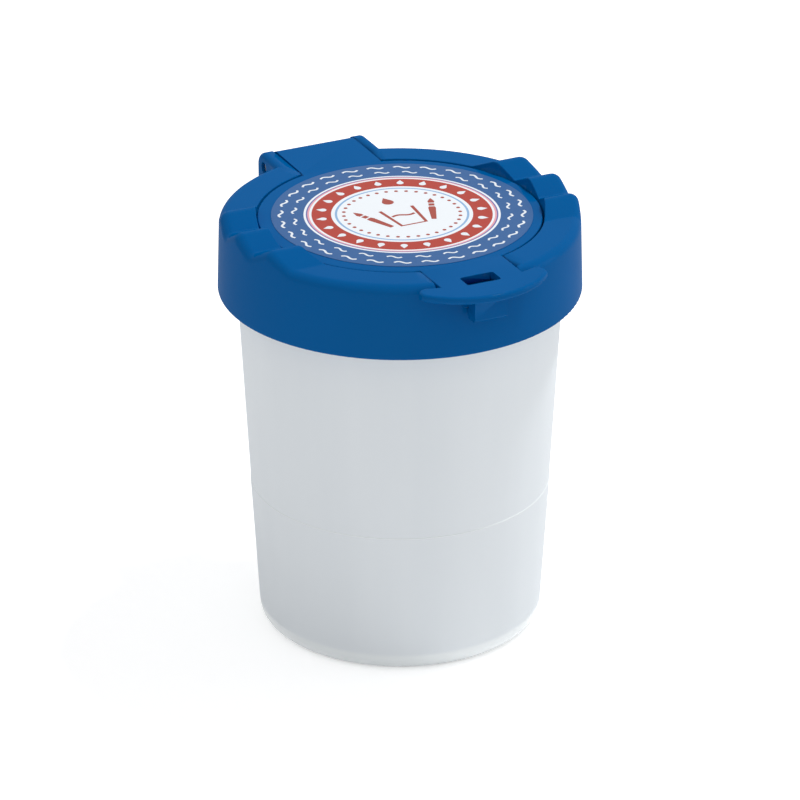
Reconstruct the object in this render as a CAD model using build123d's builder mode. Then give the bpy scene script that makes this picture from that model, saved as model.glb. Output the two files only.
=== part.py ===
from build123d import *
import math
import os

# A school water cup for painting: frosted cup, spill-proof funnel, screw collar with brush rests, hinged flap
# that snaps shut. Sizes are in millimetres. The origin is on the cup's axis at the table, +Z is up, the latch
# looks towards -Y, the hinge is at +Y and the brush rests lie at -X and +X.

# Fits shared by several pieces
seat_gap = 0.05         # between flat faces that rest on each other
slip_gap = 0.3          # round parts that drop into each other by hand
notch_gap = 0.4         # the slit beside the hinge arm and the latch neck
overrun = 1.0           # how far a cut runs past the face it leaves through

# Cup
cup_height = 90.2
thread_room = 1.82      # from the collar's skirt in to the neck
shoulder_inset = 0.5    # from the neck in to the wall just under the collar
upper_draft = 2.33      # from there in to the wall at the fill mark
lower_draft = 1.97      # from there in to the wall at the table
fill_height = 33.0
fill_step = 0.1         # how far the wall steps out under the fill mark
cup_wall = 1.3
cup_floor = 1.5
foot_recess = 0.9       # hollow under the floor, inside the foot ring
foot_width = 4.6
foot_round = 3.2
floor_round = 2.2
neck_wall = 1.8
rebate_width = 1.0      # step inside the rim that carries the funnel's flange
bead_rise = 0.2         # from the skirt's lower edge up to the stop bead under the thread
bead_thickness = 1.2

# Spill-proof funnel
flange_thickness = 1.0
funnel_wall = 0.8
sleeve_depth = 6.4      # from the rim down to where the cone starts
throat_radius = 10.5    # a brush goes through, a third of a cup of water stays in when it tips over
cone_depth = 21.0
throat_length = 11.0
throat_lip = 0.5        # how far the bead round the lower end of the throat stands out
throat_lip_height = 1.2

# Rim gasket
gasket_thickness = 1.0
gasket_overhang = 0.6   # how far it stands out over the neck

# Screw collar
collar_height = 16.6
collar_radius = 39.27   # outside, at the lower edge
collar_draft = 0.5      # how much smaller the radius is at the top
skirt_wall = 1.85
deck_thickness = 3.1
deck_round = 2.1
skirt_round = 0.6
recess_round = 0.25
well_wall = 1.4
ledge_width = 3.4
ledge_thickness = 1.5

# Brush rests: three ridges in a row on each side of the collar, running along X
rest_length = 7.82      # from the deck's edge in to the well that the flap lies in
rest_pitch = 11.5
rest_slope = 26.0       # degrees from level
crest_round = 2.5
valley_round = 1.4
ridge_count = 3

# Flap
flap_recess = 0.15      # how far its face lies below the collar's deck
flap_thickness = 1.55
flap_gap = 0.4
flap_round = 0.25
plug_gap = 0.2
plug_wall = 1.5
plug_depth = 3.4
plug_chamfer = 0.5
arm_width = 18.7        # hinge arm and latch neck
ramp_length = 1.5       # from the flap's face up to the arm
label_margin = 2.5      # bare edge of the flap round the label
label_thickness = 0.1
label_shift = 0.5       # towards +X, because the label is stuck on a little off centre

# Hinge
hinge_offset = 3.13     # pin axis behind the collar's lower edge
hinge_drop = 2.85       # pin axis below the deck
barrel_radius = 3.1
pin_radius = 1.25
pin_fit = 0.02          # radial, in the ears
pin_play = 0.06         # radial, in the barrel
pin_inset = 0.6         # how deep the pin's ends lie in the ears
ear_thickness = 2.9
ear_rear = 3.9          # from the pin axis to the ear's back
ear_rise = 0.1          # ear's top above the deck, over the pin
ear_slope_length = 7.5  # from the pin axis forward to where the ear's top meets the deck
ear_tail = 4.4          # from the pin axis down to where the ear's back turns in
ear_foot = 8.6          # from the pin axis down to where it meets the skirt
ear_round = 2.5
ear_edge_round = 1.2
ear_corner_share = 0.77  # of ear_rear, the rounding of the ear's top corner

# Latch
lip_overhang = 7.93     # from the collar's lower edge to the front edge of the thumb lip
lip_arc = 19.3          # radius of that edge
lip_width_share = 0.756  # of lip_arc, half the lip's width
lip_corner_share = 0.48  # of the lip's depth at its tips, the rounding there
lip_round = 0.7
slot_margin = 0.1       # how far the opening above the hook reaches past it on each side
slot_depth = 4.2
slot_set = 0.12         # from the hook's inner face back to the opening's front edge
slot_round = 0.6
hook_width = 7.6
hook_thickness = 2.9
hook_length = 5.8
hook_round = 0.7
hook_gap = 1.43         # from the skirt to the hook's inner face
barb_height = 1.7
barb_bite = 0.6
catch_width = 9.2
catch_height = 1.2
catch_drop = 4.1        # from the deck down to the ridge's top
catch_play = 0.1        # from the ridge's front to the barb's tip
catch_gap = 0.15        # play under the ridge

# Levels that follow from the sizes above
roof_level = cup_height + gasket_thickness + 2 * seat_gap
deck_level = roof_level + deck_thickness
skirt_level = deck_level - collar_height
flap_level = deck_level - flap_recess
flap_under = flap_level - flap_thickness
ledge_level = flap_under - seat_gap
notch_floor = flap_under - slip_gap
arm_thickness = deck_level - flap_under
hinge_level = deck_level - hinge_drop
rebate_level = cup_height - flange_thickness - seat_gap

# Radii that follow, from the collar inwards
deck_radius = collar_radius - collar_draft
skirt_inner = collar_radius - skirt_wall
channel_radius = deck_radius - skirt_wall
neck_radius = skirt_inner - thread_room
neck_inner = neck_radius - neck_wall
rebate_radius = neck_inner + rebate_width
shoulder_radius = neck_radius - shoulder_inset
fill_radius = shoulder_radius - upper_draft
base_radius = fill_radius - lower_draft
recess_radius = deck_radius - rest_length
ledge_radius = recess_radius - ledge_width
well_radius = recess_radius + well_wall
flap_radius = recess_radius - flap_gap
label_radius = flap_radius - label_margin

# Places that several pieces share
hinge_reach = collar_radius + hinge_offset
notch_half = arm_width / 2 + notch_gap
catch_depth = hook_gap - barb_bite - catch_play
half_pitch = rest_pitch / 2
crest_rise = half_pitch * math.tan(math.radians(rest_slope))


def corner(sketch, across, up):
    """The corner of a profile that lies nearest to a place on the sketch's own plane."""
    return sketch.vertices().sort_by_distance((across, up))[0]


def reach(edge):
    """How far the middle of an edge lies from the cup's axis."""
    middle = edge @ 0.5
    return math.hypot(middle.X, middle.Y)


def on_top(edge):
    """Whether an edge bounds the collar's deck or its brush rests."""
    return edge.bounding_box().min.Z > deck_level - seat_gap


def on_lip(edge):
    """Whether an edge runs round the thumb lip's upper or lower face."""
    box = edge.bounding_box()
    return box.size.Z < seat_gap and box.min.Z > flap_under - seat_gap


def skirt_radius(level):
    """The collar's outside radius at a height, along its draft."""
    return collar_radius - collar_draft * (level - skirt_level) / collar_height


# Cup: one profile turned round the axis, with a hollow foot, the fill mark's step and the rebated rim
bead_under = skirt_level + bead_rise
bead_level = bead_under + bead_thickness
bead_radius = skirt_inner - notch_gap
with BuildPart() as cup:
    with BuildSketch(Plane.XZ) as cup_profile:
        with BuildLine():
            Polyline(
                (0, foot_recess),
                (base_radius - foot_width, foot_recess),
                (base_radius - foot_width, 0),
                (base_radius, 0),
                (fill_radius, fill_height),
                (fill_radius - fill_step, fill_height + fill_step),
                (shoulder_radius, skirt_level),
                (shoulder_radius, bead_under),
                (bead_radius, bead_under),
                (bead_radius, bead_level),
                (neck_radius, bead_level),
                (neck_radius, cup_height),
                (rebate_radius, cup_height),
                (rebate_radius, rebate_level),
                (neck_inner, rebate_level),
                (neck_inner, bead_under),
                (fill_radius - cup_wall, fill_height),
                (base_radius - cup_wall, foot_recess + cup_floor),
                (0, foot_recess + cup_floor),
                close=True,
            )
        make_face()
        fillet(corner(cup_profile, base_radius, 0), foot_round)
        fillet(corner(cup_profile, base_radius - cup_wall, foot_recess + cup_floor), floor_round)
        fillet(corner(cup_profile, neck_radius, cup_height), seat_gap * 4)
    revolve(axis=Axis.Z)
cup.part.label = "cup"

# Spill-proof funnel: flange, sleeve, cone and throat in one thin turned wall
sleeve_radius = neck_inner - slip_gap
cone_level = cup_height - sleeve_depth
throat_level = cone_level - cone_depth
tip_level = throat_level - throat_length
with BuildPart() as spill_funnel:
    with BuildSketch(Plane.XZ) as funnel_profile:
        with BuildLine():
            Polyline(
                (sleeve_radius - funnel_wall, cup_height),
                (rebate_radius - slip_gap * 2 / 3, cup_height),
                (rebate_radius - slip_gap * 2 / 3, cup_height - flange_thickness),
                (sleeve_radius, cup_height - flange_thickness),
                (sleeve_radius, cone_level),
                (throat_radius + funnel_wall, throat_level),
                (throat_radius + funnel_wall, tip_level + throat_lip_height),
                (throat_radius + funnel_wall + throat_lip, tip_level + throat_lip_height),
                (throat_radius + funnel_wall + throat_lip, tip_level),
                (throat_radius, tip_level),
                (throat_radius, throat_level),
                (sleeve_radius - funnel_wall, cone_level),
                close=True,
            )
        make_face()
        fillet(corner(funnel_profile, sleeve_radius, cone_level), funnel_wall * 2)
        fillet(corner(funnel_profile, sleeve_radius - funnel_wall, cone_level), funnel_wall)
        fillet(corner(funnel_profile, throat_radius + funnel_wall, throat_level), funnel_wall)
        fillet(corner(funnel_profile, throat_radius, throat_level), funnel_wall * 2)
    revolve(axis=Axis.Z)
spill_funnel.part.label = "spill_funnel"

# Rim gasket: a flat soft ring pressed on the cup's rim and the funnel's flange together
gasket_inner = well_radius + notch_gap
with BuildPart() as rim_gasket:
    with BuildSketch(Plane.XY.offset(cup_height + seat_gap)):
        Circle(neck_radius + gasket_overhang)
        Circle(gasket_inner, mode=Mode.SUBTRACT)
    extrude(amount=gasket_thickness)
rim_gasket.part.label = "rim_gasket"

# Hinge ear: stands beside the arm, its sloping top runs out in the deck and its foot on the skirt
ear_face = notch_half + ear_thickness
ear_back = hinge_reach + ear_rear
ear_top = deck_level + ear_rise
ear_root = well_radius + slip_gap
ear_root_top = ear_top - ear_rise * (hinge_reach - ear_root) / ear_slope_length
skirt_seat = channel_radius + skirt_wall / 4
with BuildPart() as hinge_ear:
    with BuildSketch(Plane.YZ.offset(notch_half)) as ear_outline:
        with BuildLine():
            Polyline(
                (ear_root, ear_root_top),
                (hinge_reach, ear_top),
                (ear_back, ear_top),
                (ear_back, hinge_level - ear_tail),
                (skirt_seat, hinge_level - ear_foot),
                (skirt_seat, roof_level + skirt_wall),
                (ear_root, roof_level + skirt_wall),
                close=True,
            )
        make_face()
        fillet(corner(ear_outline, ear_back, ear_top), ear_rear * ear_corner_share)
        fillet(corner(ear_outline, ear_back, hinge_level - ear_tail), ear_round)
    extrude(amount=ear_thickness)
    cheek = hinge_ear.faces().sort_by(Axis.X)[-1]
    cheek_top = [edge for edge in cheek.edges() if (edge @ 0.5).Z > deck_level]
    cheek_back = [edge for edge in cheek.edges() if (edge @ 0.5).Y > hinge_reach - seat_gap]
    cheek_foot = cheek.edges().sort_by(Axis.Z)[:1]
    fillet(ShapeList(set(cheek_top + cheek_back + cheek_foot)), ear_edge_round)

# Screw collar: skirt, deck, well and ledge are one turned profile that is as tall as the ridges' crests
crest_level = deck_level + crest_rise
crest_radius = skirt_radius(crest_level)
rest_reach = ridge_count * half_pitch
with BuildPart() as screw_collar:
    with BuildSketch(Plane.XZ) as collar_profile:
        with BuildLine():
            Polyline(
                (collar_radius, skirt_level),
                (crest_radius, crest_level),
                (recess_radius, crest_level),
                (recess_radius, ledge_level),
                (ledge_radius, ledge_level),
                (ledge_radius, ledge_level - ledge_thickness),
                (well_radius, ledge_level - ledge_thickness),
                (well_radius, roof_level),
                (channel_radius, roof_level),
                (skirt_inner, skirt_level),
                close=True,
            )
        make_face()
        fillet(corner(collar_profile, collar_radius, skirt_level), skirt_round)
    revolve(axis=Axis.Z)

    # The deck and the brush rests are what is left under one long saw-tooth cut
    tooth_points = [(-collar_radius - overrun, deck_level)]
    for step in range(2 * ridge_count + 1):
        rise = crest_rise if step % 2 else 0
        tooth_points.append((-rest_reach + step * half_pitch, deck_level + rise))
    tooth_points.append((collar_radius + overrun, deck_level))
    tooth_rounds = [crest_round if step % 2 else valley_round for step in range(2 * ridge_count + 1)]
    with BuildSketch(Plane.YZ):
        with BuildLine():
            FilletPolyline(*tooth_points, radius=tooth_rounds)
            Polyline(
                tooth_points[-1],
                (collar_radius + overrun, crest_level + overrun),
                (-collar_radius - overrun, crest_level + overrun),
                tooth_points[0],
            )
        make_face()
    extrude(amount=collar_radius + overrun, both=True, mode=Mode.SUBTRACT)

    # The saw-tooth top is rounded into the skirt all the way round, and lightly into the well
    outer_rim = [edge for edge in edges() if on_top(edge) and reach(edge) > (recess_radius + deck_radius) / 2]
    fillet(outer_rim, deck_round)
    inner_rim = [edge for edge in edges() if on_top(edge) and abs(reach(edge) - recess_radius) < recess_round]
    fillet(inner_rim, recess_round)

    # Hinge ears
    add(hinge_ear.part)
    mirror(hinge_ear.part, about=Plane.YZ)

    # Notches that the hinge arm and the latch neck lie in, and the hollow that the barrel turns in
    notch_length = collar_radius + overrun - ledge_radius
    for side in (1, -1):
        with BuildSketch(Plane.XY.offset(notch_floor)):
            with Locations((0, side * (ledge_radius + notch_length / 2))):
                Rectangle(2 * notch_half, notch_length)
        extrude(amount=deck_thickness + ear_rise, mode=Mode.SUBTRACT)
    with BuildSketch(Plane.YZ):
        with Locations((hinge_reach, hinge_level)):
            Circle(barrel_radius + notch_gap)
    extrude(amount=notch_half, both=True, mode=Mode.SUBTRACT)

    # Pin holes through both ears
    with BuildSketch(Plane.YZ):
        with Locations((hinge_reach, hinge_level)):
            Circle(pin_radius + pin_fit)
    extrude(amount=ear_face + overrun, both=True, mode=Mode.SUBTRACT)

    # Catch ridge on the skirt's front, with a slope for the hook to ride over
    catch_level = deck_level - catch_drop
    catch_tip = -(skirt_radius(catch_level) + catch_depth)
    with BuildSketch(Plane.YZ):
        with BuildLine():
            Polyline(
                (-skirt_seat, catch_level),
                (catch_tip + catch_depth, catch_level),
                (catch_tip, catch_level - catch_depth),
                (catch_tip, catch_level - catch_height),
                (-skirt_seat, catch_level - catch_height),
                close=True,
            )
        make_face()
    extrude(amount=catch_width / 2, both=True)
screw_collar.part.label = "screw_collar"

# Hinge pin: a plain rod with its ends sunk in the ears
pin_half = ear_face - pin_inset
with BuildPart() as hinge_pin:
    with BuildSketch(Plane.YZ):
        with Locations((hinge_reach, hinge_level)):
            Circle(pin_radius)
    extrude(amount=pin_half, both=True)
    chamfer(hinge_pin.edges().filter_by(GeomType.CIRCLE), pin_radius / 5)
hinge_pin.part.label = "hinge_pin"

# Flap: disc with a plug ring under it, hinge arm and barrel behind, latch neck, thumb lip and hook in front
plug_radius = ledge_radius - plug_gap
lip_reach = collar_radius + lip_overhang
lip_centre = lip_reach - lip_arc
lip_inner = collar_radius + notch_gap / 4
lip_half_width = lip_arc * lip_width_share
lip_tip_front = lip_centre + math.sqrt(lip_arc**2 - lip_half_width**2)
lip_tip_depth = lip_tip_front - math.sqrt(lip_inner**2 - lip_half_width**2)
hook_face = skirt_radius(catch_level) + hook_gap
hook_end = flap_under - hook_length
barb_top = catch_level - catch_height - catch_gap
with BuildPart() as flap_lid:
    with BuildSketch(Plane.XZ) as flap_profile:
        with BuildLine():
            Polyline(
                (0, flap_level),
                (flap_radius, flap_level),
                (flap_radius, flap_under),
                (plug_radius, flap_under),
                (plug_radius, flap_under - plug_depth),
                (plug_radius - plug_wall, flap_under - plug_depth),
                (plug_radius - plug_wall, flap_under),
                (0, flap_under),
                close=True,
            )
        make_face()
        fillet(corner(flap_profile, flap_radius, flap_level), flap_round)
        chamfer(corner(flap_profile, plug_radius, flap_under - plug_depth), plug_chamfer)
        fillet(corner(flap_profile, plug_radius - plug_wall, flap_under), flap_round)
    revolve(axis=Axis.Z)

    # Hinge arm: up a short ramp from the face, level with the deck, then tangent onto the barrel
    ramp_foot = label_radius + seat_gap * 4
    with BuildSketch(Plane.YZ):
        with BuildLine():
            Polyline(
                (plug_radius - plug_wall / 2, flap_under),
                (plug_radius - plug_wall / 2, flap_level),
                (ramp_foot, flap_level),
                (ramp_foot + ramp_length, deck_level),
                (hinge_reach, hinge_level + barrel_radius),
                (hinge_reach, flap_under),
                close=True,
            )
        make_face()
        with Locations((hinge_reach, hinge_level)):
            Circle(barrel_radius)
            Circle(pin_radius + pin_play, mode=Mode.SUBTRACT)
    extrude(amount=arm_width / 2, both=True)

    # Latch neck, raised on the same ramp
    with BuildSketch(Plane.YZ):
        with BuildLine():
            Polyline(
                (-plug_radius + plug_wall / 2, flap_under),
                (-plug_radius + plug_wall / 2, flap_level),
                (-ramp_foot, flap_level),
                (-ramp_foot - ramp_length, deck_level),
                (-lip_inner, deck_level),
                (-lip_inner, flap_under),
                close=True,
            )
        make_face()
    extrude(amount=arm_width / 2, both=True)

    # Thumb lip: a crescent round the skirt, cut through above the hook
    with BuildSketch(Plane.XY.offset(flap_under)) as lip_outline:
        with Locations((0, -lip_centre)):
            Circle(lip_arc)
        with Locations((0, -lip_reach / 2)):
            Rectangle(2 * lip_half_width, lip_reach, mode=Mode.INTERSECT)
        Circle(lip_inner, mode=Mode.SUBTRACT)
        lip_tips = lip_outline.vertices().group_by(Axis.X)
        fillet(lip_tips[0] + lip_tips[-1], lip_tip_depth * lip_corner_share)
    extrude(amount=arm_thickness)
    lip_rims = [edge for edge in edges() if (edge @ 0.5).Y < -lip_inner + seat_gap and on_lip(edge)]
    fillet(lip_rims, lip_round)

    # Hook: a tongue in front of the skirt, with a barb that rides under the catch ridge
    with BuildSketch(Plane.YZ) as hook_outline:
        with BuildLine():
            Polyline(
                (-hook_face, flap_under + arm_thickness / 2),
                (-hook_face, barb_top),
                (-hook_face + barb_bite, barb_top),
                (-hook_face + barb_bite, barb_top - barb_height / 2),
                (-hook_face, hook_end),
                (-hook_face - hook_thickness, hook_end),
                (-hook_face - hook_thickness, flap_under + arm_thickness / 2),
                close=True,
            )
        make_face()
        fillet(corner(hook_outline, -hook_face - hook_thickness, hook_end), hook_round)
    extrude(amount=hook_width / 2, both=True)

    # The opening above the hook
    with BuildSketch(Plane.XY.offset(flap_under)):
        with Locations((0, slot_set + slot_depth / 2 - hook_face)):
            RectangleRounded(hook_width + 2 * slot_margin, slot_depth, slot_round)
    extrude(amount=arm_thickness, mode=Mode.SUBTRACT)
flap_lid.part.label = "flap_lid"

# Label: a thin round sticker on the flap
with BuildPart() as label:
    with BuildSketch(Plane.XY.offset(flap_level)):
        with Locations((label_shift, 0)):
            Circle(label_radius)
    extrude(amount=label_thickness)
label.part.label = "label"

os.makedirs("parts", exist_ok=True)
for piece in (cup, spill_funnel, rim_gasket, screw_collar, hinge_pin, flap_lid, label):
    export_step(piece.part, f"parts/{piece.part.label}.step")
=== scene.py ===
import math

import bmesh
import bpy
from mathutils import Matrix, Vector


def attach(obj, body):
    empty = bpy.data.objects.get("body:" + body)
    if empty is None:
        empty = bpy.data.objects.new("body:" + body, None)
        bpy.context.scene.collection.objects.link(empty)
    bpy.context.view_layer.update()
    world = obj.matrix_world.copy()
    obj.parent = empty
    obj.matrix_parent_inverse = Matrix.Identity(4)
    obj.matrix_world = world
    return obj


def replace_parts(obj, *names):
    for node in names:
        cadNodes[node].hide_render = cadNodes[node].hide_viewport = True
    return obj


# School water cup for painting: frosted cup, blue screw collar with brush rests, and a hinged flap with a
# printed label. The frame is in metres and has its origin under the cup, +Z up, the latch at -Y and the hinge
# at +Y. The dictionaries give sizes in millimetres, and mm turns them into metres.

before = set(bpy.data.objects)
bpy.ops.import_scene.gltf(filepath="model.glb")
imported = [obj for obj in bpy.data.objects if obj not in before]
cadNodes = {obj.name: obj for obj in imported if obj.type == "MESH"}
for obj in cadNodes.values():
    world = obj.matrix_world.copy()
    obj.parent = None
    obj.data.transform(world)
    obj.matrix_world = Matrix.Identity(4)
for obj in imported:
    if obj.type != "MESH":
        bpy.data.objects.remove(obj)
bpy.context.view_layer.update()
scene = bpy.context.scene
mm = 0.001


# Helpers that all pieces use

def linear(hexColour):  # sRGB hex to the linear values that a socket takes
    parts = [int(hexColour[i:i + 2], 16) / 255 for i in (1, 3, 5)]
    return tuple(c / 12.92 if c <= 0.04045 else ((c + 0.055) / 1.055) ** 2.4 for c in parts) + (1.0,)


def addNode(tree, kind, inputs=None, **settings):  # one node with its settings, values and links
    node = tree.nodes.new(kind)
    for name, value in settings.items():
        setattr(node, name, value)
    for socket, value in (inputs or {}).items():
        if isinstance(value, bpy.types.NodeSocket):
            tree.links.new(value, node.inputs[socket])
        else:
            node.inputs[socket].default_value = value
    return node


def newMaterial(name):  # a node material without nodes but its output
    material = bpy.data.materials.new(name)
    material.use_nodes = True
    material.node_tree.nodes.clear()
    return material, material.node_tree, addNode(material.node_tree, "ShaderNodeOutputMaterial")


def showObject(name, mesh, body=None):  # a finished mesh as a piece at the origin, riding on its body
    piece = bpy.data.objects.new(name, mesh)
    scene.collection.objects.link(piece)
    if body:
        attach(piece, body)
    return piece


def smoothByAngle(mesh, degrees):  # soft shading, with hard edges where faces meet at more than the angle
    mesh.shade_smooth()
    mesh.set_sharp_from_angle(angle=math.radians(degrees))


def evenNormals(piece):  # large flat faces keep their shading beside small roundings
    weighted = piece.modifiers.new("even normals", "WEIGHTED_NORMAL")
    weighted.mode = "FACE_AREA"
    weighted.weight = 100
    weighted.keep_sharp = True


# Geometry trees

def newTree(name, inputs):  # a geometry tree with named inputs, its input node and its output node
    tree = bpy.data.node_groups.new(name, "GeometryNodeTree")
    tree.interface.new_socket("Geometry", in_out="INPUT", socket_type="NodeSocketGeometry")
    for label, kind in inputs:
        tree.interface.new_socket(label, in_out="INPUT", socket_type="NodeSocket" + kind)
    tree.interface.new_socket("Geometry", in_out="OUTPUT", socket_type="NodeSocketGeometry")
    return tree, addNode(tree, "NodeGroupInput"), addNode(tree, "NodeGroupOutput")


def finishTree(tree, geometry, material, end):  # realized instances with a material close every tree
    real = addNode(tree, "GeometryNodeRealizeInstances", {"Geometry": geometry})
    painted = addNode(tree, "GeometryNodeSetMaterial", {"Geometry": real.outputs[0], "Material": material})
    tree.links.new(painted.outputs[0], end.inputs[0])


def runTree(tree, startMesh, inputs, meshName):  # evaluates the tree on a mesh and returns a plain mesh
    holder = showObject(meshName + "_source", startMesh)
    modifier = holder.modifiers.new(tree.name, "NODES")
    modifier.node_group = tree
    sockets = {s.name: s.identifier for s in tree.interface.items_tree if s.in_out == "INPUT"}
    for label, value in inputs.items():
        modifier[sockets[label]] = value
    bpy.context.view_layer.update()
    evaluated = holder.evaluated_get(bpy.context.evaluated_depsgraph_get())
    mesh = bpy.data.meshes.new_from_object(evaluated)
    mesh.name = meshName
    holder.modifiers.remove(modifier)
    bpy.data.objects.remove(holder)
    return mesh


def sweptTree():  # sweeps a section in the XZ plane round the Z axis, with an optional lead and run-out ends
    tree, start, end = newTree("swept round the axis", [
        ("Steps", "Int"), ("Turns", "Float"), ("Lead", "Float"), ("Radius", "Float"), ("Bottom", "Float"),
        ("Run-out share", "Float"), ("Material", "Material"),
    ])
    known = {socket.name: socket for socket in start.outputs}
    place = addNode(tree, "GeometryNodeInputPosition").outputs[0]
    section = addNode(tree, "GeometryNodeAttributeDomainSize", {"Geometry": known["Geometry"]})
    known["points"] = section.outputs["Point Count"]
    for name, operation, first, second in (("gaps", "SUBTRACT", "points", 1), ("rows", "ADD", "Steps", 1)):
        sources = {0: known.get(first, first), 1: known.get(second, second)}
        known[name] = addNode(tree, "ShaderNodeMath", sources, operation=operation).outputs[0]
    grid = addNode(tree, "GeometryNodeMeshGrid", {
        "Size X": 1.0, "Size Y": 1.0, "Vertices X": known["points"], "Vertices Y": known["rows"],
    })
    split = addNode(tree, "ShaderNodeSeparateXYZ", {0: place}).outputs
    known["across"], known["along"] = split["X"], split["Y"]
    for name, operation, first, second in (
        ("fromStart", "ADD", "across", 0.5), ("exactPoint", "MULTIPLY", "fromStart", "gaps"),
        ("point", "ROUND", "exactPoint", 0),
    ):
        sources = {0: known.get(first, first), 1: known.get(second, second)}
        known[name] = addNode(tree, "ShaderNodeMath", sources, operation=operation).outputs[0]
    corner = addNode(tree, "GeometryNodeSampleIndex", {
        "Geometry": known["Geometry"], "Value": place, "Index": known["point"],
    }, data_type="FLOAT_VECTOR")
    split = addNode(tree, "ShaderNodeSeparateXYZ", {0: corner.outputs[0]}).outputs
    known["out"], known["up"] = split["X"], split["Z"]
    for name, operation, first, second in (
        ("share", "ADD", "along", 0.5), ("shareLeft", "SUBTRACT", 1, "share"),
        ("toEnd", "MINIMUM", "share", "shareLeft"), ("ramp", "MAXIMUM", "Run-out share", 1e-6),
        ("slope", "DIVIDE", "toEnd", "ramp"), ("fading", "MINIMUM", "slope", 1),
        ("endless", "LESS_THAN", "Run-out share", 1e-5), ("fade", "MAXIMUM", "fading", "endless"),
        ("turned", "MULTIPLY", "share", "Turns"), ("angle", "MULTIPLY", "turned", 2 * math.pi),
        ("cosine", "COSINE", "angle", 0), ("sine", "SINE", "angle", 0),
        ("fadedOut", "MULTIPLY", "out", "fade"), ("reach", "ADD", "Radius", "fadedOut"),
        ("x", "MULTIPLY", "reach", "cosine"), ("y", "MULTIPLY", "reach", "sine"),
        ("climb", "MULTIPLY", "turned", "Lead"), ("foot", "ADD", "Bottom", "climb"),
        ("fadedUp", "MULTIPLY", "up", "fade"), ("z", "ADD", "foot", "fadedUp"),
    ):
        sources = {0: known.get(first, first), 1: known.get(second, second)}
        known[name] = addNode(tree, "ShaderNodeMath", sources, operation=operation).outputs[0]
    spot = addNode(tree, "ShaderNodeCombineXYZ", {"X": known["x"], "Y": known["y"], "Z": known["z"]})
    moved = addNode(tree, "GeometryNodeSetPosition", {
        "Geometry": grid.outputs["Mesh"], "Position": spot.outputs[0],
    })
    merged = addNode(tree, "GeometryNodeMergeByDistance", {
        "Geometry": moved.outputs[0], "Distance": 0.0005 * mm,
    })
    finishTree(tree, merged.outputs[0], known["Material"], end)
    return tree


def printTree():  # one printed mark repeated round the label's centre, its top outwards
    tree, start, end = newTree("printed ring", [
        ("Count", "Int"), ("Ring radius", "Float"), ("Centre", "Vector"), ("Material", "Material"),
    ])
    given = start.outputs
    ring = addNode(tree, "GeometryNodeMeshCircle", {
        "Vertices": given["Count"], "Radius": given["Ring radius"],
    })
    spots = addNode(tree, "GeometryNodeMeshToPoints", {"Mesh": ring.outputs["Mesh"]})
    place = addNode(tree, "GeometryNodeInputPosition").outputs[0]
    split = addNode(tree, "ShaderNodeSeparateXYZ", {0: place}).outputs
    angle = addNode(tree, "ShaderNodeMath", {0: split["Y"], 1: split["X"]}, operation="ARCTAN2")
    upright = addNode(tree, "ShaderNodeMath", {0: angle.outputs[0], 1: math.pi / 2}, operation="SUBTRACT")
    turned = addNode(tree, "ShaderNodeCombineXYZ", {"Z": upright.outputs[0]})
    marks = addNode(tree, "GeometryNodeInstanceOnPoints", {
        "Points": spots.outputs[0], "Instance": given["Geometry"], "Rotation": turned.outputs[0],
    })
    placed = addNode(tree, "GeometryNodeTransform", {
        "Geometry": marks.outputs[0], "Translation": given["Centre"],
    })
    finishTree(tree, placed.outputs[0], given["Material"], end)
    return tree


def roundedOutline(corners, steps=5):  # (across, up, rounding) corners in mm to points with real arcs
    points = []
    for i, (across, up, rounding) in enumerate(corners):
        here = Vector((across, up))
        if not rounding:
            points.append(here)
            continue
        before = (Vector(corners[i - 1][:2]) - here).normalized()
        after = (Vector(corners[(i + 1) % len(corners)][:2]) - here).normalized()
        half = before.angle(after) / 2
        middle = here + (before + after).normalized() * rounding / math.sin(half)
        first, last = here + before * rounding / math.tan(half), here + after * rounding / math.tan(half)
        a0 = math.atan2(first.y - middle.y, first.x - middle.x)
        a1 = math.atan2(last.y - middle.y, last.x - middle.x)
        sweep = (a1 - a0 + math.pi) % (2 * math.pi) - math.pi
        for k in range(steps + 1):
            a = a0 + sweep * k / steps
            points.append(middle + Vector((math.cos(a), math.sin(a))) * rounding)
    return points


def sectionMesh(points, closed):  # points of a section in mm, as a chain of vertices in the XZ plane
    chain = list(points) + ([points[0]] if closed else [])
    mesh = bpy.data.meshes.new("section")
    mesh.from_pydata(
        [(p[0] * mm, 0, p[1] * mm) for p in chain], [(i, i + 1) for i in range(len(chain) - 1)], [])
    return mesh


sweptRoundAxis = sweptTree()
printedRing = printTree()


def turnedPiece(name, body, corners, material, closed=True, steps=192, hardAngle=32):  # a solid of revolution
    mesh = runTree(sweptRoundAxis, sectionMesh(roundedOutline(corners), closed), {
        "Steps": steps, "Turns": 1.0, "Lead": 0.0, "Radius": 0.0, "Bottom": 0.0, "Run-out share": 0.0,
        "Material": material,
    }, name)
    outwards(mesh)
    smoothByAngle(mesh, hardAngle)
    return showObject(name, mesh, body)


def outwards(mesh):  # faces of a closed solid point out
    shape = bmesh.new()
    shape.from_mesh(mesh)
    bmesh.ops.recalc_face_normals(shape, faces=shape.faces)
    shape.to_mesh(mesh)
    shape.free()


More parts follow.
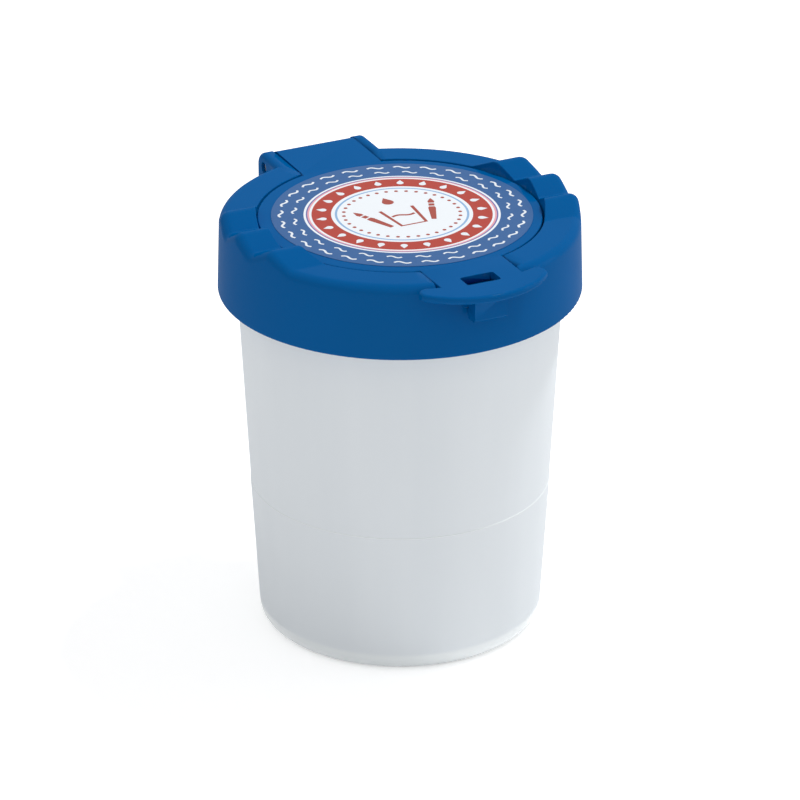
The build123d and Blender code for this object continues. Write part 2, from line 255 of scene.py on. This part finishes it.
def mouldedCopy(nodeName, pieceName, body, material, hardAngle=32):  # a merged, smooth moulded shape
    mesh = cadNodes[nodeName].data.copy()
    mesh.name = pieceName
    shape = bmesh.new()
    shape.from_mesh(mesh)
    bmesh.ops.remove_doubles(shape, verts=shape.verts, dist=0.002 * mm)
    bmesh.ops.dissolve_degenerate(shape, edges=shape.edges, dist=0.001 * mm)
    shape.to_mesh(mesh)
    shape.free()
    smoothByAngle(mesh, hardAngle)
    mesh.materials.clear()
    mesh.materials.append(material)
    piece = showObject(pieceName, mesh, body)
    evenNormals(piece)
    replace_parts(piece, nodeName)
    return piece


# Blue collar and flap

bluePlastic = {"deep": "#005694", "light": "#005A9C", "satin": (0.3, 0.4), "cloudSize": 22.0,
               "grainSize": 0.3, "grainStrength": 0.25, "grainDepth": 0.01, "ior": 1.49, "skin": 0.085,
               "skinRoughness": 0.085}


def mouldedBlue():
    # Polypropylene, dyed through and injection-moulded in a finely eroded tool: a deep even blue, a soft
    # sheen and a grain too fine to see. Its closed skin is drawn as a thin coat that catches the lamp on
    # crests and edges.
    material, tree, output = newMaterial("injection-moulded blue polypropylene")
    place = addNode(tree, "ShaderNodeTexCoord").outputs["Object"]
    cloud = addNode(tree, "ShaderNodeTexNoise", {
        "Vector": place, "Scale": 1 / (bluePlastic["cloudSize"] * mm),
    })
    tint = addNode(tree, "ShaderNodeMix", {
        "Factor": cloud.outputs["Fac"], "A": linear(bluePlastic["deep"]), "B": linear(bluePlastic["light"]),
    }, data_type="RGBA")
    grain = addNode(tree, "ShaderNodeTexNoise", {
        "Vector": place, "Scale": 1 / (bluePlastic["grainSize"] * mm),
    })
    bump = addNode(tree, "ShaderNodeBump", {
        "Height": grain.outputs["Fac"], "Strength": bluePlastic["grainStrength"],
        "Distance": bluePlastic["grainDepth"] * mm,
    })
    low, high = bluePlastic["satin"]
    gloss = addNode(tree, "ShaderNodeMapRange", {
        "Value": cloud.outputs["Fac"], "To Min": low, "To Max": high,
    })
    shader = addNode(tree, "ShaderNodeBsdfPrincipled", {
        "Base Color": tint.outputs["Result"], "Roughness": gloss.outputs["Result"],
        "Normal": bump.outputs["Normal"], "IOR": bluePlastic["ior"], "Specular IOR Level": 0.0,
        "Coat Weight": bluePlastic["skin"], "Coat Roughness": bluePlastic["skinRoughness"],
        "Coat IOR": bluePlastic["ior"],
    })
    tree.links.new(shader.outputs["BSDF"], output.inputs["Surface"])
    return material


blueMaterial = mouldedBlue()
mouldedCopy("screw_collar", "collar_moulding", "collar_body", blueMaterial)
mouldedCopy("flap_lid", "flap_moulding", "flap_body", blueMaterial)
print("collar and flap dressed")

# Frosted cup, funnel and gasket

# The foot's colour paints a glow at the foot, and the mark's share paints a highlight at the fill mark.
frostedPlastic = {"colour": "#F4F9FD", "shade": "#EAF0F5", "roughness": 0.45, "transmission": 0.08,
                  "ior": 1.49, "grainSize": 0.25, "grainStrength": 0.3, "grainDepth": 0.01,
                  "streakSize": 14.0, "streakStretch": 0.12, "streakDetail": 3.0, "footTop": 4.3,
                  "footFull": 3.5, "paintedGlowColour": "#F8FDFF", "skin": 0.05, "footSkin": 1.0,
                  "skinRoughness": 0.25, "markHeight": 33.0, "markWidth": 0.35, "paintedHighlightShare": 0.6}
softRubber = {"colour": "#D9D8D2", "roughness": 0.75, "sheen": 0.15, "ior": 1.45, "dustSize": 0.4,
              "dustStrength": 0.3, "dustDepth": 0.02}
springWire = {"colour": "#C4C3BF", "gloss": (0.22, 0.4), "scratchSize": 0.08, "scratchStretch": 0.02}
cupSizes = {"baseRadius": 30.8, "fillRadius": 32.77, "fillHeight": 33.0, "fillStep": 0.1,
            "shoulderRadius": 35.1, "neckRadius": 35.6, "height": 90.2, "wall": 1.3, "neckWall": 1.8,
            "floor": 2.4, "footRecess": 0.9, "footInner": 26.2, "footRound": 3.2, "floorRound": 2.2,
            "beadRadius": 37.02, "beadBottom": 78.0, "beadTop": 79.2, "rebateRadius": 34.8,
            "rebateLevel": 89.15, "edge": 0.2, "footEdge": 0.3}
gateSizes = {"radius": 1.1, "rootRadius": 1.3, "low": 0.35, "high": 0.95, "edge": 0.25}
funnelSizes = {"sleeveRadius": 33.5, "wall": 0.8, "top": 90.2, "flangeRadius": 34.6, "flange": 1.0,
               "coneTop": 83.8, "throatRadius": 10.5, "throatTop": 62.8, "tip": 51.8, "lip": 0.5,
               "lipHeight": 1.2, "edge": 0.2, "tightBend": 0.8, "wideBend": 1.6}
gasketSizes = {"inner": 32.75, "outer": 36.2, "bottom": 90.25, "top": 91.25, "edge": 0.2}
threadSizes = {"lead": 4.0, "foot": 1.9, "crest": 0.8, "edge": 0.25, "sunk": 0.2, "runOut": 0.06,
               "neckBottom": 82.6, "neckTurns": 1.4, "neckDepth": 0.95, "collarInside": 37.15,
               "collarBottom": 80.6, "collarTurns": 1.2, "collarCrest": 36.05}


def frostedClear():
    # Natural polypropylene, injection-moulded in a matt tool: milky and cold white, it glows where light
    # comes through it and hides what is behind it. Faint upright streaks follow the flow from the gate. The
    # foot band is painted whiter, a painted glow of light leaving the thick foot, and has a smooth skin that
    # mirrors the table. A thin band at the fill mark is painted a little whiter, a painted highlight.
    material, tree, output = newMaterial("injection-moulded frosted polypropylene")
    place = addNode(tree, "ShaderNodeTexCoord").outputs["Object"]
    stretched = addNode(tree, "ShaderNodeMapping", {
        "Vector": place, "Scale": (1.0, 1.0, frostedPlastic["streakStretch"]),
    })
    streaks = addNode(tree, "ShaderNodeTexNoise", {
        "Vector": stretched.outputs[0], "Scale": 1 / (frostedPlastic["streakSize"] * mm),
        "Detail": frostedPlastic["streakDetail"],
    })
    tint = addNode(tree, "ShaderNodeMix", {
        "Factor": streaks.outputs["Fac"], "A": linear(frostedPlastic["shade"]),
        "B": linear(frostedPlastic["colour"]),
    }, data_type="RGBA")
    height = addNode(tree, "ShaderNodeSeparateXYZ", {0: place}).outputs["Z"]
    # painted glow: 1 at the foot and 0 above it; it whitens the base colour there and also raises the coat
    paintedGlowAndGlossBand = addNode(tree, "ShaderNodeMapRange", {
        "Value": height, "From Min": frostedPlastic["footTop"] * mm,
        "From Max": frostedPlastic["footFull"] * mm,
    })
    # painted highlight: a thin band at the fill mark takes a share of the painted glow colour
    ring = addNode(tree, "ShaderNodeMath", {
        0: height, 1: frostedPlastic["markHeight"] * mm, 2: frostedPlastic["markWidth"] / 2 * mm,
    }, operation="COMPARE")
    mark = addNode(tree, "ShaderNodeMath", {0: ring.outputs[0], 1: frostedPlastic["paintedHighlightShare"]},
                   operation="MULTIPLY")
    paintedGlowAndHighlight = addNode(tree, "ShaderNodeMath", {0: paintedGlowAndGlossBand.outputs["Result"], 1: mark.outputs[0]},
                     operation="MAXIMUM")
    # painted glow and highlight: the base colour whitens at the foot and partly at the fill mark
    foot = addNode(tree, "ShaderNodeMix", {
        "Factor": paintedGlowAndHighlight.outputs[0], "A": tint.outputs["Result"], "B": linear(frostedPlastic["paintedGlowColour"]),
    }, data_type="RGBA")
    grain = addNode(tree, "ShaderNodeTexNoise", {
        "Vector": place, "Scale": 1 / (frostedPlastic["grainSize"] * mm),
    })
    bump = addNode(tree, "ShaderNodeBump", {
        "Height": grain.outputs["Fac"], "Strength": frostedPlastic["grainStrength"],
        "Distance": frostedPlastic["grainDepth"] * mm,
    })
    skin = addNode(tree, "ShaderNodeMapRange", {
        "Value": paintedGlowAndGlossBand.outputs["Result"], "To Min": frostedPlastic["skin"],
        "To Max": frostedPlastic["footSkin"],
    })
    shader = addNode(tree, "ShaderNodeBsdfPrincipled", {
        "Base Color": foot.outputs["Result"], "Normal": bump.outputs["Normal"],
        "Roughness": frostedPlastic["roughness"], "IOR": frostedPlastic["ior"],
        "Transmission Weight": frostedPlastic["transmission"], "Specular IOR Level": 0.0,
        "Coat Weight": skin.outputs["Result"], "Coat Roughness": frostedPlastic["skinRoughness"],
        "Coat IOR": frostedPlastic["ior"],
    })
    tree.links.new(shader.outputs["BSDF"], output.inputs["Surface"])
    return material


def softWhite():
    # Thermoplastic elastomer, moulded: dead white and matt, with a slight velvet sheen.
    material, tree, output = newMaterial("moulded soft white elastomer")
    place = addNode(tree, "ShaderNodeTexCoord").outputs["Object"]
    dust = addNode(tree, "ShaderNodeTexNoise", {"Vector": place, "Scale": 1 / (softRubber["dustSize"] * mm)})
    bump = addNode(tree, "ShaderNodeBump", {
        "Height": dust.outputs["Fac"], "Strength": softRubber["dustStrength"],
        "Distance": softRubber["dustDepth"] * mm,
    })
    shader = addNode(tree, "ShaderNodeBsdfPrincipled", {
        "Base Color": linear(softRubber["colour"]), "Roughness": softRubber["roughness"],
        "Sheen Weight": softRubber["sheen"], "IOR": softRubber["ior"], "Normal": bump.outputs["Normal"],
    })
    tree.links.new(shader.outputs["BSDF"], output.inputs["Surface"])
    return material


def drawnSteel():
    # Stainless spring wire, drawn through a die: bright, with fine scratches along the rod, and so along X.
    material, tree, output = newMaterial("drawn stainless steel wire")
    place = addNode(tree, "ShaderNodeTexCoord").outputs["Object"]
    lengthwise = addNode(tree, "ShaderNodeMapping", {
        "Vector": place, "Scale": (springWire["scratchStretch"], 1.0, 1.0),
    })
    scratches = addNode(tree, "ShaderNodeTexNoise", {
        "Vector": lengthwise.outputs[0], "Scale": 1 / (springWire["scratchSize"] * mm),
    })
    low, high = springWire["gloss"]
    gloss = addNode(tree, "ShaderNodeMapRange", {
        "Value": scratches.outputs["Fac"], "To Min": low, "To Max": high,
    })
    shader = addNode(tree, "ShaderNodeBsdfPrincipled", {
        "Base Color": linear(springWire["colour"]), "Metallic": 1.0, "Roughness": gloss.outputs["Result"],
    })
    tree.links.new(shader.outputs["BSDF"], output.inputs["Surface"])
    return material


frostedMaterial = frostedClear()
cup = cupSizes
neckInside = cup["neckRadius"] - cup["neckWall"]
cupOutline = [
    (0, cup["footRecess"], 0), (cup["footInner"], cup["footRecess"], cup["footEdge"]),
    (cup["footInner"], 0, cup["footEdge"]), (cup["baseRadius"], 0, cup["footRound"]),
    (cup["fillRadius"], cup["fillHeight"], 0),
    (cup["fillRadius"] - cup["fillStep"], cup["fillHeight"] + cup["fillStep"], 0),
    (cup["shoulderRadius"], cup["beadBottom"], 0), (cup["beadRadius"], cup["beadBottom"], cup["edge"]),
    (cup["beadRadius"], cup["beadTop"], cup["edge"]), (cup["neckRadius"], cup["beadTop"], 0),
    (cup["neckRadius"], cup["height"], cup["edge"]), (cup["rebateRadius"], cup["height"], 0),
    (cup["rebateRadius"], cup["rebateLevel"], 0), (neckInside, cup["rebateLevel"], 0),
    (neckInside, cup["beadBottom"], 0), (cup["fillRadius"] - cup["wall"], cup["fillHeight"], 0),
    (cup["baseRadius"] - cup["wall"], cup["floor"], cup["floorRound"]), (0, cup["floor"], 0),
]
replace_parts(turnedPiece("cup_moulding", "cup_body", cupOutline, frostedMaterial, closed=False), "cup")
gate = gateSizes  # the stub left where the plastic was fed into the tool
gateOutline = [(0, gate["low"], 0), (gate["radius"], gate["low"], gate["edge"]),
               (gate["rootRadius"], gate["high"], 0), (0, gate["high"], 0)]
gateStub = turnedPiece("cup_gate_stub", "cup_body", gateOutline, frostedMaterial, closed=False, steps=32)

funnel = funnelSizes
sleeveInside = funnel["sleeveRadius"] - funnel["wall"]
throatOutside = funnel["throatRadius"] + funnel["wall"]
lipTop = funnel["tip"] + funnel["lipHeight"]
flangeBottom = funnel["top"] - funnel["flange"]
funnelOutline = [
    (sleeveInside, funnel["top"], funnel["edge"]), (funnel["flangeRadius"], funnel["top"], funnel["edge"]),
    (funnel["flangeRadius"], flangeBottom, funnel["edge"]), (funnel["sleeveRadius"], flangeBottom, 0),
    (funnel["sleeveRadius"], funnel["coneTop"], funnel["wideBend"]),
    (throatOutside, funnel["throatTop"], funnel["tightBend"]), (throatOutside, lipTop, 0),
    (throatOutside + funnel["lip"], lipTop, funnel["edge"]),
    (throatOutside + funnel["lip"], funnel["tip"], funnel["edge"]),
    (funnel["throatRadius"], funnel["tip"], funnel["edge"]),
    (funnel["throatRadius"], funnel["throatTop"], funnel["wideBend"]),
    (sleeveInside, funnel["coneTop"], funnel["tightBend"]),
]
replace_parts(turnedPiece("funnel_moulding", "funnel_body", funnelOutline, frostedMaterial), "spill_funnel")
gasket = gasketSizes
gasketOutline = [
    (gasket["inner"], gasket["bottom"], gasket["edge"]), (gasket["outer"], gasket["bottom"], gasket["edge"]),
    (gasket["outer"], gasket["top"], gasket["edge"]), (gasket["inner"], gasket["top"], gasket["edge"]),
]
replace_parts(turnedPiece("gasket_moulding", "gasket_body", gasketOutline, softWhite()), "rim_gasket")
cadNodes["hinge_pin"].data.materials.clear()
cadNodes["hinge_pin"].data.materials.append(drawnSteel())
print("cup, funnel, gasket and pin dressed")

# Screw thread: one ridge on the neck and one inside the collar, half a lead apart so that they run free


def threadRidge(name, body, radius, bottom, turns, depth, material):
    thread = threadSizes
    side = math.copysign(1, depth)
    half, top = thread["foot"] / 2, thread["crest"] / 2
    root = -side * thread["sunk"]
    corners = [(root, -half, 0), (depth, -top, thread["edge"]), (depth, top, thread["edge"]), (root, half, 0)]
    section = roundedOutline(corners, 3)
    mesh = runTree(sweptRoundAxis, sectionMesh(section, True), {
        "Steps": int(160 * turns), "Turns": turns, "Lead": thread["lead"] * mm, "Radius": radius * mm,
        "Bottom": bottom * mm, "Run-out share": thread["runOut"], "Material": material,
    }, name)
    outwards(mesh)
    smoothByAngle(mesh, 40)
    showObject(name, mesh, body)


threadRidge("neck_thread", "cup_body", cup["neckRadius"], threadSizes["neckBottom"], threadSizes["neckTurns"],
            threadSizes["neckDepth"], frostedMaterial)
skirtInside = threadSizes["collarInside"]  # the collar's inner wall, at the middle of its thread
threadRidge("collar_thread", "collar_body", skirtInside, threadSizes["collarBottom"],
            threadSizes["collarTurns"], threadSizes["collarCrest"] - skirtInside, blueMaterial)
print("threads cut")

# Round label: colour rings in the film's own material, marks as thin ink on top

labelSizes = {"centreX": 0.5, "radius": 28.05, "top": 94.35, "ink": 0.02}
labelColours = {"white": "#EBF0F5", "blue": "#3A6398", "red": "#B0453A", "paleBlue": "#8FB2D8",
                "pink": "#E2A4AE", "violet": "#6F6FA8"}
labelRings = (("paleBlue", 13.9, 14.4), ("red", 15.2, 19.4), ("pink", 19.9, 20.3), ("violet", 20.3, 20.6),
              ("blue", 21.1, labelSizes["radius"] + 1))
labelCentre = Vector((labelSizes["centreX"], 0, labelSizes["top"])) * mm
filmLook = {"roughness": 0.38, "ior": 1.5, "specular": 0.05, "grainSize": 0.5, "grainStrength": 0.1,
            "grainDepth": 0.01}
inkLook = {"white": "#E6ECF2", "red": "#A8544A", "gloss": (0.4, 0.5), "dotSize": 0.15}


def printedFilm():
    # White polypropylene film, offset-printed and lacquered: clean flat colour rings with crisp edges round a
    # white middle, under a satin lacquer.
    material, tree, output = newMaterial("printed and lacquered polypropylene film")
    place = addNode(tree, "ShaderNodeTexCoord").outputs["Object"]
    away = addNode(tree, "ShaderNodeVectorMath", {0: place, 1: labelCentre},
                   operation="DISTANCE").outputs["Value"]
    colour = linear(labelColours["white"])
    for name, inner, outer in labelRings:
        beyond = addNode(tree, "ShaderNodeMath", {0: away, 1: inner * mm}, operation="GREATER_THAN")
        within = addNode(tree, "ShaderNodeMath", {0: away, 1: outer * mm}, operation="LESS_THAN")
        field = addNode(tree, "ShaderNodeMath", {0: beyond.outputs[0], 1: within.outputs[0]},
                        operation="MULTIPLY")
        colour = addNode(tree, "ShaderNodeMix", {
            "Factor": field.outputs[0], "A": colour, "B": linear(labelColours[name]),
        }, data_type="RGBA").outputs["Result"]
    grain = addNode(tree, "ShaderNodeTexNoise", {"Vector": place, "Scale": 1 / (filmLook["grainSize"] * mm)})
    bump = addNode(tree, "ShaderNodeBump", {
        "Height": grain.outputs["Fac"], "Strength": filmLook["grainStrength"],
        "Distance": filmLook["grainDepth"] * mm,
    })
    shader = addNode(tree, "ShaderNodeBsdfPrincipled", {
        "Base Color": colour, "Normal": bump.outputs["Normal"], "Roughness": filmLook["roughness"],
        "IOR": filmLook["ior"], "Specular IOR Level": filmLook["specular"],
    })
    tree.links.new(shader.outputs["BSDF"], output.inputs["Surface"])
    return material


def ink(name, colour):
    # Offset ink under the same lacquer: flat and even, a touch duller than the film.
    material, tree, output = newMaterial(name)
    place = addNode(tree, "ShaderNodeTexCoord").outputs["Object"]
    screenDots = addNode(tree, "ShaderNodeTexNoise", {
        "Vector": place, "Scale": 1 / (inkLook["dotSize"] * mm),
    })
    low, high = inkLook["gloss"]
    gloss = addNode(tree, "ShaderNodeMapRange", {
        "Value": screenDots.outputs["Fac"], "To Min": low, "To Max": high,
    })
    shader = addNode(tree, "ShaderNodeBsdfPrincipled", {
        "Base Color": linear(colour), "Roughness": gloss.outputs["Result"], "IOR": filmLook["ior"],
        "Specular IOR Level": filmLook["specular"],
    })
    tree.links.new(shader.outputs["BSDF"], output.inputs["Surface"])
    return material


def inkShapes(outlines):  # flat closed outlines in mm, each made a thin layer of ink
    shape = bmesh.new()
    for outline in outlines:
        area = sum(a[0] * b[1] - b[0] * a[1] for a, b in zip(outline, outline[1:] + outline[:1]))
        ordered = outline if area > 0 else outline[::-1]
        low = [shape.verts.new((x * mm, y * mm, 0)) for x, y in ordered]
        high = [shape.verts.new((x * mm, y * mm, labelSizes["ink"] * mm)) for x, y in ordered]
        shape.faces.new(high)
        shape.faces.new(low[::-1])
        for i in range(len(low)):
            j = (i + 1) % len(low)
            shape.faces.new((low[i], low[j], high[j], high[i]))
    shape.normal_update()
    bmesh.ops.triangulate(shape, faces=[face for face in shape.faces if len(face.verts) > 4])
    mesh = bpy.data.meshes.new("ink")
    shape.to_mesh(mesh)
    shape.free()
    return mesh


def ribbon(path, width):  # outline of a stroke along a path
    left, right = [], []
    for i, p in enumerate(path):
        a, b = path[max(i - 1, 0)], path[min(i + 1, len(path) - 1)]
        along = Vector((b[0] - a[0], b[1] - a[1])).normalized()
        side = Vector((-along.y, along.x)) * width / 2
        left.append((p[0] + side.x, p[1] + side.y))
        right.append((p[0] - side.x, p[1] - side.y))
    return left + right[::-1]


def wave(length, height, width, steps=12):  # a stroke of water
    shares = [k / steps for k in range(steps + 1)]
    return ribbon(
        [(length * (share - 0.5), height * math.sin(2 * math.pi * share)) for share in shares], width)


def drop(height, x=0.0, y=0.0, steps=20):  # a water drop, tip up
    radius, tip = height * 0.32, height * 0.62
    start = math.acos(radius / tip)
    bend = [start + (2 * math.pi - 2 * start) * k / steps for k in range(steps + 1)]
    return [(x, y + tip)] + [(x + radius * math.sin(a), y + radius * math.cos(a)) for a in bend]


def disc(radius, steps=20):
    turns = [2 * math.pi * k / steps for k in range(steps)]
    return [(radius * math.cos(a), radius * math.sin(a)) for a in turns]


def turnedShape(outline, degrees, x, y):
    c, s = math.cos(math.radians(degrees)), math.sin(math.radians(degrees))
    return [(x + px * c - py * s, y + px * s + py * c) for px, py in outline]


def brush(length, degrees, x, y, width=1.5):  # handle, ferrule and pointed hair
    handle = [(-0.35, -0.5), (0.35, -0.5), (0.55, 0.05), (0.42, 0.12), (-0.42, 0.12), (-0.55, 0.05)]
    ferrule = [(-0.42, 0.16), (0.42, 0.16), (0.42, 0.27), (-0.42, 0.27)]
    hair = [(-0.42, 0.31), (0.42, 0.31), (0.5, 0.38), (0.2, 0.48), (0.0, 0.54), (-0.2, 0.48), (-0.5, 0.38)]
    sized = [[(px * width, py * length) for px, py in part] for part in (handle, ferrule, hair)]
    return [turnedShape(part, degrees, x, y) for part in sized]


def beaker(height, x, y):  # a cup in outline with its water line
    top, low = height * 0.42, height * 0.32
    wall = [(-top, height / 2), (-low, -height / 2), (low, -height / 2), (top, height / 2)]
    water = [
        (px + x, py + y + height * 0.08) for px, py in wave(height * 0.58, height * 0.045, height * 0.075)
    ]
    return [[(px + x, py + y) for px, py in ribbon(wall, height * 0.085)], water]


cadNodes["label"].data.materials.clear()
cadNodes["label"].data.materials.append(printedFilm())
whiteInk = ink("white offset ink", inkLook["white"])
redInk = ink("brick red offset ink", inkLook["red"])
for name, mark, material, count, ringRadius in (  # the marks stand in rings round the label's centre
    ("label_ripples", wave(3.6, 0.42, 0.5), whiteInk, 28, 26.0),
    ("label_swell", wave(3.2, 0.4, 0.45), whiteInk, 24, 23.2),
    ("label_drops", drop(2.4), whiteInk, 22, 17.1),
    ("label_dots", disc(0.42), redInk, 36, 12.5),
):
    mesh = runTree(printedRing, inkShapes([mark]), {
        "Count": count, "Ring radius": ringRadius * mm, "Centre": labelCentre, "Material": material,
    }, name)
    showObject(name, mesh, "flap_body")
pictures = inkShapes(  # a cup between two brushes, under a drop
    beaker(9.0, 0, -1.4) + [drop(4.0, 0, 7.0)] + brush(11.0, 22, -7.0, -0.4) + brush(11.0, -22, 7.0, -0.4))
pictures.transform(Matrix.Translation(labelCentre))
pictures.materials.append(redInk)
showObject("label_pictures", pictures, "flap_body")
print("label printed")

# Studio

camera = {"azimuth": -26.0, "elevation": 25.18, "distance": 1081.0, "aimHeight": 50.42, "lens": 223.48}
studio = {"lookAt": 60, "key": 9.0, "keySize": 150, "keyFrom": (0.4, 0.0, 0.92), "keyDistance": 1400,
          "side": 2.0, "sideSize": 900, "sideFrom": (1.0, -0.3, 0.3), "sideDistance": 1800, "ambient": 0.62,
          "paper": "#FCFCFC", "paperGlow": 0.4, "paperHalfWidth": 3000, "paperDrop": 0.02}


def aimAt(thing, place, target):
    thing.location = place
    thing.rotation_euler = (Vector(target) - Vector(place)).to_track_quat("-Z", "Y").to_euler()


def softbox(name):  # a round diffuser that looks at the cup
    data = bpy.data.lights.new(name + " softbox", "AREA")
    data.shape = "DISK"
    data.size = studio[name + "Size"] * mm
    data.energy = studio[name]
    lamp = bpy.data.objects.new(name + " softbox", data)
    scene.collection.objects.link(lamp)
    target = Vector((0, 0, studio["lookAt"] * mm))
    aimAt(lamp, target + Vector(studio[name + "From"]).normalized() * studio[name + "Distance"] * mm, target)


turn, tilt = math.radians(camera["azimuth"]), math.radians(camera["elevation"])
aim = Vector((0, 0, camera["aimHeight"] * mm))
towards = Vector((math.sin(turn) * math.cos(tilt), -math.cos(turn) * math.cos(tilt), math.sin(tilt)))
lensData = bpy.data.cameras.new("camera")
lensData.lens = camera["lens"]
lensData.sensor_width = 36.0
lensData.clip_end = 20.0
cameraObject = bpy.data.objects.new("camera", lensData)
scene.collection.objects.link(cameraObject)
aimAt(cameraObject, aim + towards * camera["distance"] * mm, aim)
scene.camera = cameraObject

softbox("key")
softbox("side")


def seenDirectly(tree):  # 1 for camera, mirror and see-through rays, else 0
    path = addNode(tree, "ShaderNodeLightPath").outputs
    first = addNode(tree, "ShaderNodeMath", {0: path["Is Camera Ray"], 1: path["Is Glossy Ray"]},
                    operation="MAXIMUM")
    return addNode(tree, "ShaderNodeMath", {0: first.outputs[0], 1: path["Is Transmission Ray"]},
                   operation="MAXIMUM").outputs[0]


floorMesh = bpy.data.meshes.new("floor")
sheet = bmesh.new()
bmesh.ops.create_grid(sheet, x_segments=1, y_segments=1, size=studio["paperHalfWidth"] * mm)
bmesh.ops.translate(sheet, verts=sheet.verts, vec=(0, 0, -studio["paperDrop"] * mm))
sheet.to_mesh(floorMesh)
sheet.free()
floor = showObject("floor", floorMesh)
paperMaterial, tree, output = newMaterial("pale paper floor")
paper = addNode(tree, "ShaderNodeBsdfDiffuse", {"Color": linear(studio["paper"])})
glow = addNode(tree, "ShaderNodeMath", {0: seenDirectly(tree), 1: studio["paperGlow"]}, operation="MULTIPLY")
light = addNode(tree, "ShaderNodeEmission", {"Strength": glow.outputs[0], "Color": linear("#FFFFFF")})
both = addNode(tree, "ShaderNodeAddShader", {0: paper.outputs[0], 1: light.outputs[0]})
tree.links.new(both.outputs[0], output.inputs["Surface"])
floorMesh.materials.append(paperMaterial)

world = bpy.data.worlds.new("studio")
scene.world = world
world.use_nodes = True
tree = world.node_tree
tree.nodes.clear()
level = addNode(tree, "ShaderNodeMapRange", {
    "Value": seenDirectly(tree), "To Min": studio["ambient"], "To Max": 1.0,
})
air = addNode(tree, "ShaderNodeBackground", {"Strength": level.outputs["Result"], "Color": linear("#FFFFFF")})
tree.links.new(air.outputs[0], addNode(tree, "ShaderNodeOutputWorld").inputs["Surface"])
scene.view_settings.view_transform = "Standard"
print("studio ready")
